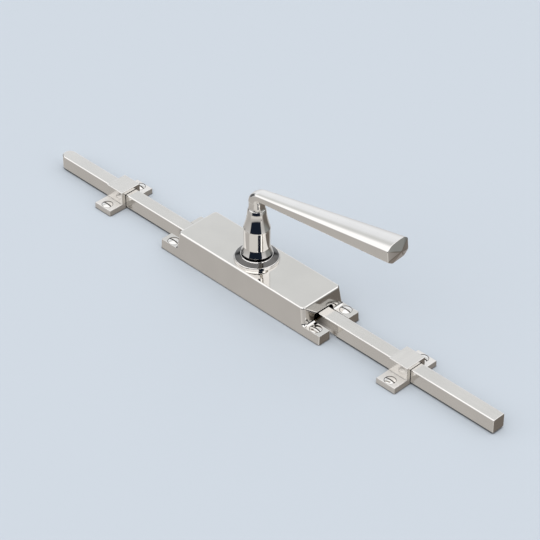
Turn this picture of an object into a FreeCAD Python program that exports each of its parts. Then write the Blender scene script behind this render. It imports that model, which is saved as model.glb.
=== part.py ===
# Window espagnolette gearbox: a lever handle turns a pinion between two racks,
# and the racks draw two square rods in or push them out along the window stile.
# Frame: +Z away from the window, +X along the right rod, origin in the middle of the case's back.
import FreeCAD, Part
import math
import os
import types

import Sketcher

doc = FreeCAD.newDocument("espagnolette")

# Driving sizes in millimetres and degrees
SIZES = [
    # rods
    ("rod_side", 10.8, "side of the square rod"),
    ("rod_lift", 0.9, "rod's underside above the window"),
    ("rod_end_edge", 0.4, "rounding round the right rod's square end"),
    ("rod_relief", 1.2, "shallow cut under a rod, beyond the case's end with the rods drawn in"),
    ("rod_edge", 0.9, "rounding along the rod's edges"),
    ("right_reach", 222.0, "end of the right rod from the case's middle"),
    ("left_reach", 207.0, "end of the left rod from the case's middle"),
    # case
    ("case_length", 124.3, "upper box along the rods, at its top"),
    ("case_width", 40.25, "at the window"),
    ("case_height", 21.47, ""),
    ("case_draft", 1.43, "each long side leans in this much at the top"),
    ("end_draft", 3.3, "each end leans in this much at the top"),
    ("case_corner", 3.0, "upright corner radius"),
    ("case_edge", 1.2, "rounding of the top edges"),
    ("end_wall", 3.2, ""),
    ("side_wall", 4.2, "at the window"),
    ("roof", 3.2, ""),
    ("lug_length", 16.8, ""),
    ("lug_width", 10.6, ""),
    ("lug_height", 7.24, ""),
    ("lug_corner", 0.6, ""),
    ("lug_fillet", 1.8, "hollow between the end face and a lug"),
    ("lug_hole_out", 8.85, "screw centre beyond the end of the case's top"),
    ("lug_hole_in", 5.125, "screw centre from the case's side at the window"),
    ("window_top_gap", 0.7, "end opening above the rod"),
    ("window_corner", 3.0, ""),
    ("boss_radius", 3.3, "posts for the back plate's screws"),
    ("boss_inset", 0.6, "how far a post runs into the walls"),
    # back plate
    ("plate_thickness", 1.3, ""),
    ("plate_gap", 0.1, "play round the back plate"),
    ("plate_screw_radius", 1.3, ""),
    ("plate_head_radius", 2.3, ""),
    ("plate_head_depth", 1.0, ""),
    ("plate_screw_length", 8.0, ""),
    # handle axis and gearing
    ("axis_x", -1.3, "handle axis from the case's middle"),
    ("handle_angle", 4.0, "handle as it stands, from the rods' line"),
    ("tooth_module", 1.5, ""),
    ("tooth_count", 12, "on the pinion"),
    ("pressure_angle", 25.0, ""),
    ("addendum_share", 0.8, "of the module"),
    ("dedendum_share", 1.05, "of the module"),
    ("backlash", 0.24, "play between the teeth at the pitch line"),
    ("rack_spaces", 6, "tooth spaces in a rack"),
    ("rack_lead", 9.6, "rack behind its resting tooth space"),
    ("rack_end_tooth", 2.8, "end of the last tooth from the middle of its space"),
    ("rack_rise", 8.8, "height of a rack"),
    ("slide_gap", 0.3, "play round a rack"),
    ("lap_start", 27.3, "inner end of a rod from the handle axis"),
    ("lap_length", 16.0, "where a rod lies on its rack's foot"),
    ("lap_level", 6.6, "height of the lap above the window"),
    ("pin_radius", 1.5, "rivets through the lap"),
    ("pin_inset", 4.2, "rivet from the lap's ends"),
    ("pin_play", 0.02, ""),
    # pinion and its bearings
    ("pinion_low", 2.5, "underside of the teeth"),
    ("pinion_face", 7.2, "face width"),
    ("hub_radius", 7.4, ""),
    ("journal_radius", 6.9, "upper journal"),
    ("journal_drop", 0.27, "upper journal's end below its bush's"),
    ("foot_radius", 6.3, "lower journal"),
    ("foot_low", 0.3, ""),
    ("bearing_play", 0.05, "radial play in the bushes"),
    ("foot_bush_radius", 7.4, ""),
    ("bush_radius", 9.0, ""),
    ("bush_flange", 10.6, ""),
    ("bush_flange_thickness", 1.17, ""),
    ("washer_radius", 10.0, ""),
    ("washer_thickness", 0.8, ""),
    # spindle
    ("spindle_side", 7.0, ""),
    ("spindle_low", 5.0, ""),
    ("spindle_end_gap", 0.4, "over the spindle in the shank"),
    ("spindle_play", 0.05, "each side in its sockets"),
    ("keep_screw_radius", 2.0, "screw that keeps the spindle in the pinion"),
    ("keep_head_radius", 3.6, ""),
    ("keep_head_depth", 2.6, ""),
    ("keep_screw_length", 9.0, "thread in the spindle"),
    # rose
    ("rose_radius", 16.4, "on the case"),
    ("rose_rim", 0.25, "its edge on the case"),
    ("rose_foot_hollow", 1.4, "hollow where it rises from the case"),
    ("rose_lean", 0.4, "its wall leans in this much"),
    ("rose_round", 0.7, "rounding of its shoulder"),
    ("rose_height", 4.5, ""),
    ("rose_step", 0.3, "shoulder below the top ring"),
    ("rose_ring", 12.0, "outside of the top ring"),
    ("rose_ring_rise", 0.7, "top ring above the dish"),
    ("rose_recess", 10.9, "inside of the top ring"),
    ("rose_recess_depth", 1.6, ""),
    ("rose_dish", 1.6, "radius of the dish between shoulder and ring"),
    ("rose_spigot", 10.2, ""),
    ("rose_spigot_depth", 1.5, ""),
    ("rose_edge", 0.35, ""),
    # shank
    ("shank_journal", 8.5, ""),
    ("shank_end_gap", 0.33, "under the shank's journal"),
    ("shank_foot_gap", 2.03, "black gap between the rose and the flared foot"),
    ("shank_foot_radius", 11.15, ""),
    ("shank_foot_rim", 0.8, ""),
    ("shank_flare_height", 5.2, ""),
    ("shank_flare_hollow", 6.5, ""),
    ("shank_radius", 9.45, ""),
    ("shank_barrel", 20.4, "shoulder above the foot"),
    ("shank_shoulder_radius", 9.6, ""),
    ("shank_bead", 0.8, ""),
    ("shank_taper", 11.6, "length of the hollow taper from the shoulder"),
    ("shank_waist_radius", 6.9, ""),
    ("shank_taper_hollow", 34.0, ""),
    ("shank_neck", 4.6, "from the taper to the top"),
    ("shank_top_radius", 6.6, ""),
    ("shank_top_edge", 0.4, ""),
    ("tenon_radius", 4.2, "lever's tenon in the shank"),
    ("tenon_length", 14.0, ""),
    ("socket_depth", 18.4, "square socket above the foot"),
    ("lever_pin_radius", 1.5, ""),
    ("lever_pin_drop", 7.6, "pin below the shank's top"),
    ("lever_pin_depth", 3.0, "beyond the shank's axis"),
    ("grub_radius", 2.5, ""),
    ("grub_rise", 9.0, "grub screw above the foot"),
    ("grub_length", 5.2, ""),
    ("grub_hex", 2.5, "across the flats of its socket"),
    # lever
    ("lever_height", 11.7, "lever's centre line over the shank's top, at the handle axis"),
    ("lever_rise", 5.8, "slope away from the window"),
    ("lever_length", 123.6, "from the handle axis to the end's rim"),
    ("lever_bend", 6.0, "centre line radius of the elbow"),
    ("neck_foot", 12.1, "neck across its flats on the shank"),
    ("neck_across", 11.0, "neck across its flats at the elbow"),
    ("neck_flat", 0.55, "one flat of the neck, at the elbow"),
    ("root_width", 10.5, "lever where it leaves the elbow"),
    ("root_height", 6.2, ""),
    ("end_width", 21.5, ""),
    ("end_height", 14.7, ""),
    ("flat_share", 0.58, "top flat of the whole width"),
    ("root_side_share", 0.67, "side flat of the whole height, at the elbow"),
    ("end_side_share", 0.6, "side flat of the whole height, at the end"),
    ("end_point", 2.6, "height of the low diamond point on the end"),
    ("end_point_share", 0.12, "size of its tip of the whole end"),
    # rod guides
    ("guide_x", 141.3, ""),
    ("guide_length", 16.5, ""),
    ("guide_play", 0.35, "round the rod"),
    ("guide_floor", 0.55, ""),
    ("guide_wall", 3.2, ""),
    ("guide_roof", 2.55, ""),
    ("guide_reach", 20.95, "end of a flange from the rod's middle"),
    ("guide_flange", 4.4, ""),
    ("guide_hole_y", 16.3, ""),
    ("guide_edge", 0.45, ""),
    # wood screws
    ("lug_screw_head", 4.3, "head radius"),
    ("lug_screw_dome", 0.8, ""),
    ("lug_screw_cone", 2.3, "depth of the countersunk head"),
    ("lug_screw_shank", 2.5, "plain shank in the lug"),
    ("lug_screw_thread", 2.25, "threaded part in the wood"),
    ("lug_screw_below", 18.0, ""),
    ("guide_screw_head", 4.0, ""),
    ("guide_screw_dome", 0.7, ""),
    ("guide_screw_cone", 2.0, ""),
    ("guide_screw_shank", 2.2, ""),
    ("guide_screw_thread", 1.95, ""),
    ("guide_screw_below", 16.0, ""),
    ("screw_tip", 4.5, "pointed end of a wood screw"),
    ("screw_play", 0.05, "round a screw's head and shank"),
    ("screw_sink", 0.15, "head's rim below the face"),
    ("slot_width", 1.1, ""),
    ("slot_depth", 1.5, ""),
]

class Length:
    """A value together with the sheet formula that gives it."""

    def __init__(self, text, value):
        self.text = text
        self.value = value

    def joined(self, sign, other, value):
        return Length(f"({self.text} {sign} {other.text})", value)

    def __add__(self, other):
        other = length(other)
        return self.joined("+", other, self.value + other.value)

    def __sub__(self, other):
        other = length(other)
        return self.joined("-", other, self.value - other.value)

    def __mul__(self, other):
        other = length(other)
        return self.joined("*", other, self.value * other.value)

    def __truediv__(self, other):
        other = length(other)
        return self.joined("/", other, self.value / other.value)

    def __radd__(self, other):
        return length(other) + self

    def __rsub__(self, other):
        return length(other) - self

    def __rmul__(self, other):
        return length(other) * self

    def __neg__(self):
        return length(0) - self


def length(value):
    return value if isinstance(value, Length) else Length(f"({value})", value)


def trig(name, angle):
    """Sine, cosine or tangent of an angle in degrees."""
    return Length(f"{name}({angle.text} * 1 deg)", getattr(math, name)(math.radians(angle.value)))


def root(value):
    return Length(f"sqrt({value.text})", math.sqrt(value.value))


sheet = doc.addObject("Spreadsheet::Sheet", "Sizes")
for row, (alias, value, note) in enumerate(SIZES, 1):
    sheet.set(f"A{row}", alias.replace("_", " "))
    sheet.set(f"B{row}", str(value))
    sheet.set(f"C{row}", note)
    sheet.setAlias(f"B{row}", alias)
doc.recompute()
S = types.SimpleNamespace()
for alias, value, note in SIZES:
    setattr(S, alias, Length(f"Sizes.{alias}", float(getattr(sheet, alias))))

XY, XZ, YZ = "XY_Plane", "XZ_Plane", "YZ_Plane"
ROUND_X = FreeCAD.Vector(1, 0, 0)
ROUND_Y = FreeCAD.Vector(0, 1, 0)
# Turns an upright cylinder to lie along +Y, away from the shank's near side
ACROSS = FreeCAD.Rotation(ROUND_X, -90)
PARTS = {}


def bind(thing, name, value):
    thing.setExpression(name, length(value).text)


def place(thing, where):
    for axis, value in zip("xyz", where):
        bind(thing, f"Placement.Base.{axis}", value)


def node(label, thing):
    """Name a finished sub-part."""
    thing.Label = label
    PARTS[label] = thing
    return thing


def new_body(label):
    return node(label, doc.addObject("PartDesign::Body", label))


def feature(body, kind, name, sizes, where, turn=None):
    """A primitive added to or cut from a body."""
    thing = body.newObject(f"PartDesign::{kind}", f"{body.Name}_{name}")
    if turn:
        thing.Placement.Rotation = turn
    for prop, value in sizes.items():
        bind(thing, prop, value)
    place(thing, where)
    return thing


def block(body, kind, name, low, high):
    """A box feature between two opposite corners."""
    sizes = {
        prop: length(top) - length(base)
        for prop, base, top in zip(("Length", "Width", "Height"), low, high)
    }
    return feature(body, kind + "Box", name, sizes, low)


def round_bar(body, kind, name, radius, low, high, x=0, y=0):
    """An upright cylinder feature from one height to another."""
    sizes = {"Radius": radius, "Height": length(high) - length(low)}
    return feature(body, kind + "Cylinder", name, sizes, (x, y, low))


def plane_of(body, role):
    return next(item for item in body.Origin.OriginFeatures if item.Role == role)


def outline(body, name, role, corners, offset=0):
    """A closed sketch. A corner is (x, y), or (x, y, radius) where an arc leaves it:
    a positive radius turns left on the way to the next corner, a negative one right."""
    sketch = body.newObject("Sketcher::SketchObject", f"{body.Name}_{name}")
    sketch.AttachmentSupport = [(plane_of(body, role), "")]
    sketch.MapMode = "FlatFace"
    bind(sketch, "AttachmentOffset.Base.z", offset)
    corners = [tuple(length(value) for value in corner) for corner in corners]
    points = [FreeCAD.Vector(corner[0].value, corner[1].value, 0) for corner in corners]
    starts = []
    ends = []
    for i, corner in enumerate(corners):
        here, there = points[i], points[(i + 1) % len(points)]
        bend = corner[2].value if len(corner) == 3 else 0
        if bend:
            chord = there - here
            rise = math.sqrt(bend**2 - (chord.Length / 2) ** 2)
            side = FreeCAD.Vector(-chord.y, chord.x, 0).normalize()
            centre = (here + there) * 0.5 + side * math.copysign(rise, bend)
            ordered = (here, there) if bend > 0 else (there, here)
            angles = [math.atan2(point.y - centre.y, point.x - centre.x) for point in ordered]
            circle = Part.Circle(centre, FreeCAD.Vector(0, 0, 1), abs(bend))
            sketch.addGeometry(Part.ArcOfCircle(circle, *angles), False)
        else:
            sketch.addGeometry(Part.LineSegment(here, there), False)
        starts.append(2 if bend < 0 else 1)
        ends.append(1 if bend < 0 else 2)
    for i, corner in enumerate(corners):
        after = (i + 1) % len(corners)
        joint = Sketcher.Constraint("Coincident", i, ends[i], after, starts[after])
        sketch.addConstraint(joint)
        for kind, value in zip(("DistanceX", "DistanceY"), corner):
            index = sketch.addConstraint(Sketcher.Constraint(kind, i, starts[i], value.value))
            sketch.setExpression(f"Constraints[{index}]", value.text)
        if len(corner) == 3:
            radius = corner[2] if corner[2].value > 0 else -corner[2]
            index = sketch.addConstraint(Sketcher.Constraint("Radius", i, radius.value))
            sketch.setExpression(f"Constraints[{index}]", radius.text)
    return sketch


def extrude(body, kind, name, sketch, depth, **options):
    """A pad or pocket of a sketch."""
    thing = body.newObject(f"PartDesign::{kind}", f"{body.Name}_{name}")
    thing.Profile = sketch
    for prop, value in options.items():
        setattr(thing, prop, value)
    bind(thing, "Length", depth)
    return thing


def loft(body, name, first, last):
    thing = body.newObject("PartDesign::AdditiveLoft", f"{body.Name}_{name}")
    thing.Profile = first
    thing.Sections = [last]
    thing.Ruled = True
    return thing


def turned(body, name, corners):
    """A turned form, from its half section in radius and height."""
    sketch = outline(body, f"{name}_section", XZ, corners)
    thing = body.newObject("PartDesign::Revolution", f"{body.Name}_{name}")
    thing.Profile = sketch
    thing.ReferenceAxis = (sketch, ["V_Axis"])
    thing.Angle = 360
    return thing


def soften(body, name, radius, chosen):
    """A fillet on the edges that a test picks."""
    doc.recompute()
    base = body.Tip
    names = [f"Edge{i}" for i, edge in enumerate(base.Shape.Edges, 1) if chosen(edge)]
    thing = body.newObject("PartDesign::Fillet", f"{body.Name}_{name}")
    thing.Base = (base, names)
    bind(thing, "Radius", radius)
    return thing


def near(a, b):
    return abs(a - b) < 1e-3


def rounded_rectangle(half_x, half_y, radius):
    return [
        (radius - half_x, -half_y),
        (half_x - radius, -half_y, radius),
        (half_x, radius - half_y),
        (half_x, half_y - radius, radius),
        (half_x - radius, half_y),
        (radius - half_x, half_y, radius),
        (-half_x, half_y - radius),
        (-half_x, radius - half_y, radius),
    ]


def at_corners(x, y):
    return [(sx * x, sy * y) for sx in (-1, 1) for sy in (-1, 1)]


# Places that several pieces share
ROD_HALF = S.rod_side / 2
ROD_TOP = S.rod_lift + S.rod_side
CASE_HALF = S.case_length / 2
WIDE_HALF = S.case_width / 2
CAVITY_X = CASE_HALF - S.end_wall
CAVITY_Y = WIDE_HALF - S.side_wall
CAVITY_TOP = S.case_height - S.roof
BOSS_X = CAVITY_X - S.boss_radius + S.boss_inset
BOSS_Y = CAVITY_Y - S.boss_radius + S.boss_inset
PITCH = S.tooth_module * S.tooth_count / 2
ADDENDUM = S.addendum_share * S.tooth_module
DEDENDUM = S.dedendum_share * S.tooth_module
RACK_LOW = S.plate_thickness + S.slide_gap
BUSH_TOP = S.case_height - S.rose_spigot_depth
BUSH_BORE = S.journal_radius + S.bearing_play
FOOT_BORE = S.foot_radius + S.bearing_play
ROSE_TOP = S.case_height + S.rose_height
LUG_HOLE_X = CASE_HALF + S.lug_hole_out
LUG_HOLE_Y = WIDE_HALF - S.lug_hole_in
WASHER_TOP = CAVITY_TOP - S.bush_flange_thickness - S.slide_gap
HUB_TOP = WASHER_TOP - S.washer_thickness
JOURNAL_TOP = BUSH_TOP - S.journal_drop
SHANK_LOW = BUSH_TOP + S.shank_end_gap
SHANK_FOOT = ROSE_TOP + S.shank_foot_gap
SHOULDER = SHANK_FOOT + S.shank_barrel
WAIST = SHOULDER + S.shank_taper
SHANK_TOP = WAIST + S.shank_neck
SOCKET_TOP = SHANK_FOOT + S.socket_depth
SPINDLE_TOP = SOCKET_TOP - S.spindle_end_gap
PIN_LEVEL = SHANK_TOP - S.lever_pin_drop
GRUB_LEVEL = SHANK_FOOT + S.grub_rise
LEVER_LEVEL = SHANK_TOP + S.lever_height


def make_case():
    """One casting: a drafted box on four lugs, open at the back."""
    body = new_body("case")
    sole = rounded_rectangle(CASE_HALF + S.end_draft, WIDE_HALF, S.case_corner)
    crown = rounded_rectangle(CASE_HALF, WIDE_HALF - S.case_draft, S.case_corner)
    loft(
        body,
        "box",
        outline(body, "box_sole", XY, sole),
        outline(body, "box_crown", XY, crown, S.case_height),
    )
    lug_end = CASE_HALF + S.lug_length
    spare = WIDE_HALF + 2 * S.lug_fillet
    block(body, "Additive", "lugs", (-lug_end, -spare, 0), (lug_end, spare, S.lug_height))
    soften(
        body,
        "hollows",
        S.lug_fillet,
        lambda edge: near(edge.BoundBox.ZMin, S.lug_height.value)
        and near(edge.BoundBox.ZMax, S.lug_height.value)
        and abs(edge.CenterOfMass.x) < lug_end.value - 1
        and abs(edge.CenterOfMass.y) < spare.value - 1,
    )
    top = S.lug_height + S.lug_fillet
    top_half = WIDE_HALF - S.case_draft * top / S.case_height
    for side, sign in (("near", -1), ("far", 1)):
        waste = [
            (sign * WIDE_HALF, 0),
            (sign * (spare + 1), 0),
            (sign * (spare + 1), top),
            (sign * top_half, top),
        ]
        sketch = outline(body, f"{side}_waste", YZ, waste)
        extrude(body, "Pocket", f"{side}_side", sketch, 2 * lug_end + 1, Midplane=True)
    soften(
        body,
        "lug_corners",
        S.lug_corner,
        lambda edge: edge.BoundBox.ZLength > S.lug_height.value - 0.001
        and abs(edge.CenterOfMass.x) > lug_end.value - 0.01
        and abs(edge.CenterOfMass.y) > WIDE_HALF.value - S.case_draft.value,
    )
    soften(
        body,
        "top_edge",
        S.case_edge,
        lambda edge: near(edge.BoundBox.ZMin, S.case_height.value),
    )
    block(
        body,
        "Subtractive",
        "cavity",
        (-CAVITY_X, -CAVITY_Y, 0),
        (CAVITY_X, CAVITY_Y, CAVITY_TOP),
    )
    for i, (x, y) in enumerate(at_corners(BOSS_X, BOSS_Y), 1):
        round_bar(body, "Additive", f"boss_{i}", S.boss_radius, S.plate_thickness, CAVITY_TOP, x, y)
        drilled = S.plate_thickness + S.plate_screw_length
        hole = S.plate_screw_radius + S.pin_play
        round_bar(body, "Subtractive", f"tapping_{i}", hole, S.plate_thickness, drilled, x, y)
    channel = WIDE_HALF - S.lug_width
    top = ROD_TOP + S.window_top_gap
    arch = [
        (-channel, 0),
        (channel, 0),
        (channel, top - S.window_corner, S.window_corner),
        (channel - S.window_corner, top),
        (S.window_corner - channel, top, S.window_corner),
        (-channel, top - S.window_corner),
    ]
    windows = outline(body, "window", YZ, arch)
    extrude(body, "Pocket", "windows", windows, 2 * lug_end + 1, Midplane=True)
    for i, (x, y) in enumerate(at_corners(LUG_HOLE_X, LUG_HOLE_Y), 1):
        screw_seat(body, i, x, y, S.lug_height, LUG_SCREW)
    bush_hole = S.bush_radius + S.pin_play
    round_bar(body, "Subtractive", "bush_seat", bush_hole, CAVITY_TOP, BUSH_TOP, S.axis_x)
    spigot_hole = S.rose_spigot + S.pin_play
    round_bar(body, "Subtractive", "rose_seat", spigot_hole, BUSH_TOP, S.case_height, S.axis_x)


def wood_screw(name):
    """The sizes of a raised countersunk wood screw."""
    keys = ("head", "dome", "cone", "shank", "thread", "below")
    return types.SimpleNamespace(**{key: getattr(S, f"{name}_{key}") for key in keys})


LUG_SCREW = wood_screw("lug_screw")
GUIDE_SCREW = wood_screw("guide_screw")


def screw_seat(body, index, x, y, face, screw):
    """A countersunk hole through a lug or flange."""
    shank = screw.shank + S.screw_play
    head = screw.head + S.screw_play
    cone_top = face - S.screw_sink
    cone_low = cone_top - screw.cone
    round_bar(body, "Subtractive", f"hole_{index}", shank, 0, face, x, y)
    sizes = {"Radius1": shank, "Radius2": head, "Height": screw.cone}
    feature(body, "SubtractiveCone", f"sink_{index}", sizes, (x, y, cone_low))
    round_bar(body, "Subtractive", f"rim_{index}", head, cone_top, face, x, y)


def make_screws(label, corners, face, screw):
    """Slotted raised countersunk wood screws, driven into the window."""
    solids = []
    rim = face - S.screw_sink
    low = rim - screw.cone
    dome_radius = (screw.head * screw.head + screw.dome * screw.dome) / (2 * screw.dome)
    for i, (x, y) in enumerate(corners, 1):
        name = f"{label}_{i}"
        pieces = [
            solid(
                "Cone",
                f"{name}_cone",
                (x, y, low),
                Radius1=screw.shank,
                Radius2=screw.head,
                Height=screw.cone,
            ),
            solid("Cylinder", f"{name}_shank", (x, y, 0), Radius=screw.shank, Height=low),
            solid(
                "Cylinder",
                f"{name}_thread",
                (x, y, -(screw.below - S.screw_tip)),
                Radius=screw.thread,
                Height=screw.below - S.screw_tip,
            ),
            solid(
                "Cone",
                f"{name}_tip",
                (x, y, -screw.below),
                Radius1=0,
                Radius2=screw.thread,
                Height=S.screw_tip,
            ),
            common(
                f"{name}_dome",
                solid("Sphere", f"{name}_ball", (x, y, rim + screw.dome - dome_radius), Radius=dome_radius),
                solid("Cylinder", f"{name}_cap", (x, y, rim), Radius=screw.head, Height=screw.dome),
            ),
        ]
        whole = doc.addObject("Part::MultiFuse", f"{name}_blank")
        whole.Shapes = pieces
        reach = 2 * screw.head
        slot = solid(
            "Box",
            f"{name}_slot",
            (x - reach / 2, y - S.slot_width / 2, rim + screw.dome - S.slot_depth),
            Length=reach,
            Width=S.slot_width,
            Height=S.slot_depth,
        )
        solids.append(cut(name, whole, slot))
    return group(label, solids)


def solid(kind, name, where, turn=None, **sizes):
    """A free primitive."""
    thing = doc.addObject(f"Part::{kind}", name)
    if turn:
        thing.Placement.Rotation = turn
    for prop, value in sizes.items():
        bind(thing, prop, value)
    place(thing, where)
    return thing


def common(name, first, second):
    thing = doc.addObject("Part::MultiCommon", name)
    thing.Shapes = [first, second]
    return thing


def cut(name, base, tool):
    thing = doc.addObject("Part::Cut", name)
    thing.Base = base
    thing.Tool = tool
    return thing


def fuse(name, pieces):
    thing = doc.addObject("Part::MultiFuse", name)
    thing.Shapes = pieces
    return thing


def group(label, solids):
    thing = doc.addObject("Part::Compound", label)
    thing.Links = solids
    return node(label, thing)


def make_back_plate():
    """A thin plate that closes the back and keeps the racks in."""
    body = new_body("back_plate")
    half_x = CAVITY_X - S.plate_gap
    half_y = CAVITY_Y - S.plate_gap
    block(body, "Additive", "sheet", (-half_x, -half_y, 0), (half_x, half_y, S.plate_thickness))
    hole = S.foot_bush_radius + S.pin_play
    round_bar(body, "Subtractive", "bush_hole", hole, 0, S.plate_thickness, S.axis_x)
    for i, (x, y) in enumerate(at_corners(BOSS_X, BOSS_Y), 1):
        screw = S.plate_screw_radius + S.screw_play
        head = S.plate_head_radius + S.screw_play
        round_bar(body, "Subtractive", f"hole_{i}", screw, 0, S.plate_thickness, x, y)
        sizes = {"Radius1": head, "Radius2": screw, "Height": S.plate_head_depth}
        feature(body, "SubtractiveCone", f"sink_{i}", sizes, (x, y, 0))


def make_plate_screws():
    """Countersunk machine screws that hold the back plate."""
    solids = []
    for i, (x, y) in enumerate(at_corners(BOSS_X, BOSS_Y), 1):
        name = f"plate_screw_{i}"
        head = solid(
            "Cone",
            f"{name}_head",
            (x, y, 0),
            Radius1=S.plate_head_radius,
            Radius2=S.plate_screw_radius,
            Height=S.plate_head_depth,
        )
        thread = solid(
            "Cylinder",
            f"{name}_thread",
            (x, y, S.plate_head_depth),
            Radius=S.plate_screw_radius,
            Height=S.plate_screw_length,
        )
        slot_depth = S.plate_head_depth / 2
        slot = solid(
            "Box",
            f"{name}_slot",
            (x - S.plate_head_radius, y - slot_depth / 2, 0),
            Length=2 * S.plate_head_radius,
            Width=slot_depth,
            Height=slot_depth,
        )
        solids.append(cut(name, fuse(f"{name}_blank", [head, thread]), slot))
    group("plate_screws", solids)


def make_rod(side, sign, reach):
    """A square rod with a half lap at its inner end. The right one ends square, the left one round."""
    body = new_body(f"{side}_rod")
    inner = S.axis_x + sign * S.lap_start
    lap_end = inner + sign * S.lap_length
    end = sign * reach
    if sign > 0:
        block(body, "Additive", "bar", (inner, -ROD_HALF, S.rod_lift), (end, ROD_HALF, ROD_TOP))
        soften(body, "edges", S.rod_edge, lambda edge: edge.BoundBox.XLength > 1)
        soften(body, "end", S.rod_end_edge, lambda edge: near(edge.BoundBox.XMin, end.value))
    else:
        nose = end + ROD_HALF
        plan = [
            (nose, ROD_HALF, ROD_HALF),
            (end, 0, ROD_HALF),
            (nose, -ROD_HALF),
            (inner, -ROD_HALF),
            (inner, ROD_HALF),
        ]
        extrude(body, "Pad", "bar", outline(body, "plan", XY, plan, S.rod_lift), S.rod_side)
        soften(
            body,
            "edges",
            S.rod_edge,
            lambda edge: near(edge.BoundBox.ZLength, 0) and not near(edge.BoundBox.XMin, inner.value),
        )
    low, high = (inner, lap_end) if sign > 0 else (lap_end, inner)
    block(body, "Subtractive", "lap", (low, -ROD_HALF, S.rod_lift), (high, ROD_HALF, S.lap_level))
    relief_end = sign * (CASE_HALF + S.end_draft + PITCH * math.pi / 2 + S.rod_relief)
    low, high = (lap_end, relief_end) if sign > 0 else (relief_end, lap_end)
    block(body, "Subtractive", "relief", (low, -ROD_HALF, S.rod_lift), (high, ROD_HALF, RACK_LOW))
    for i, x in enumerate(rivet_places(sign), 1):
        hole = S.pin_radius + S.pin_play
        round_bar(body, "Subtractive", f"rivet_hole_{i}", hole, S.lap_level, ROD_TOP, x)


def rivet_places(sign):
    """Where the two rivets of a lap stand."""
    first = S.lap_start + S.pin_inset
    second = S.lap_start + S.lap_length - S.pin_inset
    return [S.axis_x + sign * first, S.axis_x + sign * second]


def make_rack(side, sign):
    """A rack beside the pinion, with a foot that carries its rod."""
    body = new_body(f"{side}_rack")
    pitch = math.pi * S.tooth_module
    slope = trig("tan", S.pressure_angle)
    gap_half = pitch / 4 + S.backlash / 4
    tip_gap = gap_half + ADDENDUM * slope
    root_gap = gap_half - DEDENDUM * slope
    tip = PITCH - ADDENDUM
    deep = PITCH + DEDENDUM
    back = CAVITY_Y - S.slide_gap
    start = -PITCH * S.handle_angle * (math.pi / 180)
    far = S.lap_start + S.lap_length
    profile = [(start - S.rack_lead, back), (start - S.rack_lead, deep)]
    profile += [(start - pitch - S.rack_end_tooth, deep), (start - pitch - S.rack_end_tooth, tip)]
    for k in range(int(S.rack_spaces.value)):
        middle = start + pitch * (k - 1)
        profile += [
            (middle - tip_gap, tip),
            (middle - root_gap, deep),
            (middle + root_gap, deep),
            (middle + tip_gap, tip),
        ]
    profile += [(far, tip), (far, back)]
    corners = [(S.axis_x + sign * u, sign * v) for u, v in profile]
    extrude(body, "Pad", "bar", outline(body, "teeth", XY, corners, RACK_LOW), S.rack_rise)
    ends = [S.axis_x + sign * S.lap_start, S.axis_x + sign * far]
    sides = [-sign * ROD_HALF, sign * back]
    low_x, high_x = ends if sign > 0 else ends[::-1]
    low_y, high_y = sides if sign > 0 else sides[::-1]
    block(body, "Additive", "foot", (low_x, low_y, RACK_LOW), (high_x, high_y, S.lap_level))
    for i, x in enumerate(rivet_places(sign), 1):
        hole = S.pin_radius + S.pin_play
        round_bar(body, "Subtractive", f"rivet_hole_{i}", hole, RACK_LOW, S.lap_level, x)


def make_rivets(side, sign):
    """Two rivets that fasten a rod to its rack."""
    rivets = [
        solid(
            "Cylinder",
            f"{side}_rivet_{i}",
            (x, 0, RACK_LOW),
            Radius=S.pin_radius,
            Height=ROD_TOP - RACK_LOW,
        )
        for i, x in enumerate(rivet_places(sign), 1)
    ]
    group(f"{side}_rivets", rivets)


def on_handle(thing):
    """Turn a piece with the handle about its axis."""
    bind(thing, "Placement.Base.x", S.axis_x)
    thing.setExpression("Placement.Rotation.Angle", f"{S.handle_angle.text} * 1 deg")
    return thing


def involute(radius, base):
    """The involute function at a radius."""
    roll = math.acos(min(1.0, base / radius))
    return math.tan(roll) - roll


def pinion_outline():
    """The pinion's teeth as one closed wire."""
    pitch = PITCH.value
    base = pitch * math.cos(math.radians(S.pressure_angle.value))
    outer = pitch + ADDENDUM.value
    inner = pitch - DEDENDUM.value
    count = int(S.tooth_count.value)
    thickness = math.pi * S.tooth_module.value / 2 - S.backlash.value / 2
    half_at_base = thickness / (2 * pitch) + involute(pitch, base)
    radii = [base + (outer - base) * i / 6 for i in range(7)]

    def at(radius, angle):
        return FreeCAD.Vector(radius * math.cos(angle), radius * math.sin(angle), 0)

    edges = []
    for tooth in range(count):
        middle = 2 * math.pi * tooth / count + math.pi / 2
        after = middle + 2 * math.pi / count
        rising = [at(r, middle - half_at_base + involute(r, base)) for r in radii]
        falling = [at(r, middle + half_at_base - involute(r, base)) for r in reversed(radii)]
        foot_up = at(inner, middle - half_at_base)
        foot_down = at(inner, middle + half_at_base)
        next_foot = at(inner, after - half_at_base)
        edges.append(Part.LineSegment(foot_up, rising[0]).toShape())
        for points in (rising, falling):
            curve = Part.BSplineCurve()
            curve.interpolate(points)
            edges.append(curve.toShape())
        tip = Part.Arc(rising[-1], at(outer, middle), falling[0]).toShape()
        edges.insert(-1, tip)
        edges.append(Part.LineSegment(falling[-1], foot_down).toShape())
        valley = at(inner, (middle + after) / 2)
        edges.append(Part.Arc(foot_down, valley, next_foot).toShape())
    return Part.Wire(edges)


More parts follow.
